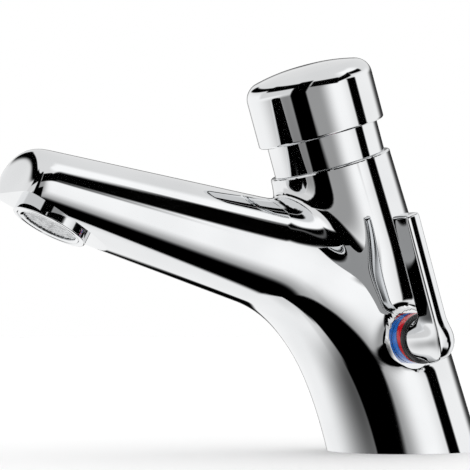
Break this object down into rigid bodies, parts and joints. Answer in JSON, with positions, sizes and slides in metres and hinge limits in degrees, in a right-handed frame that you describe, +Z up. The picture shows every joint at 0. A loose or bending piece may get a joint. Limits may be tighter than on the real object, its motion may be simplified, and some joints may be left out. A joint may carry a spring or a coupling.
{
  "type": "push timed basin mixer tap",
  "caption": "Deck-mounted push timed mixer: leaning column with a swan-neck spout, push button on top and a side lever that sets the temperature.",
  "frame": {"origin": "centre of the foot on the deck, where the column axis meets it", "axes": "+Z up from the deck, -Y towards the spout, +X towards the temperature lever"},
  "size_m": [0.0672, 0.1655, 0.1756],
  "materials": {
    "chrome": "polished bright chrome plate",
    "brass": "turned brass",
    "stainless": "turned and drawn stainless steel",
    "black_rubber": "moulded black rubber",
    "grey_plastic": "moulded grey acetal",
    "white_plastic": "moulded white acetal",
    "ring_plastic": "glossy plastic, red outside and blue at the body"
  },
  "bodies": {
    "root": {"body": "chrome", "bonnet": "chrome", "aerator_housing": "chrome", "valve_seat": "brass", "cartridge_sleeve": "brass", "mixing_sleeve": "brass", "retaining_nut": "brass", "fixing_nut": "brass", "fixing_stud": "stainless", "horseshoe_plate": "stainless", "return_spring": "stainless", "foot_gasket": "black_rubber", "horseshoe_gasket": "black_rubber", "outlet_washer": "black_rubber", "seat_gasket": "black_rubber", "sleeve_ring_seals": "black_rubber", "bonnet_ring_seal": "black_rubber", "stem_seal": "black_rubber", "mixing_ring_seals": "black_rubber", "stem_ring_seal": "black_rubber", "flow_straightener": "grey_plastic", "flow_regulator": "grey_plastic", "guide_bush": "white_plastic", "temperature_ring": "ring_plastic"},
    "button": {"push_button": "chrome", "plunger": "brass", "timing_piston": "white_plastic", "cup_seal": "black_rubber", "valve_washer": "black_rubber", "washer_nut": "brass"},
    "lever_body": {"lever": "chrome", "lever_grub_screw": "stainless", "mixing_barrel": "brass", "travel_stop": "white_plastic"}
  },
  "joints": [
    {"name": "button_press", "type": "slide", "parent": "root", "child": "button", "axis": [0, 0.2924, -0.9563], "range_m": [0, 0.005], "stiffness_N_per_m": 1200, "springref_m": -0.006, "deforming": ["return_spring"]},
    {"name": "lever_turn", "type": "hinge", "parent": "root", "child": "lever_body", "pos_m": [0, -0.01117, 0.03653], "axis": [1, 0, 0], "range_deg": [-45, 45]}
  ]
}
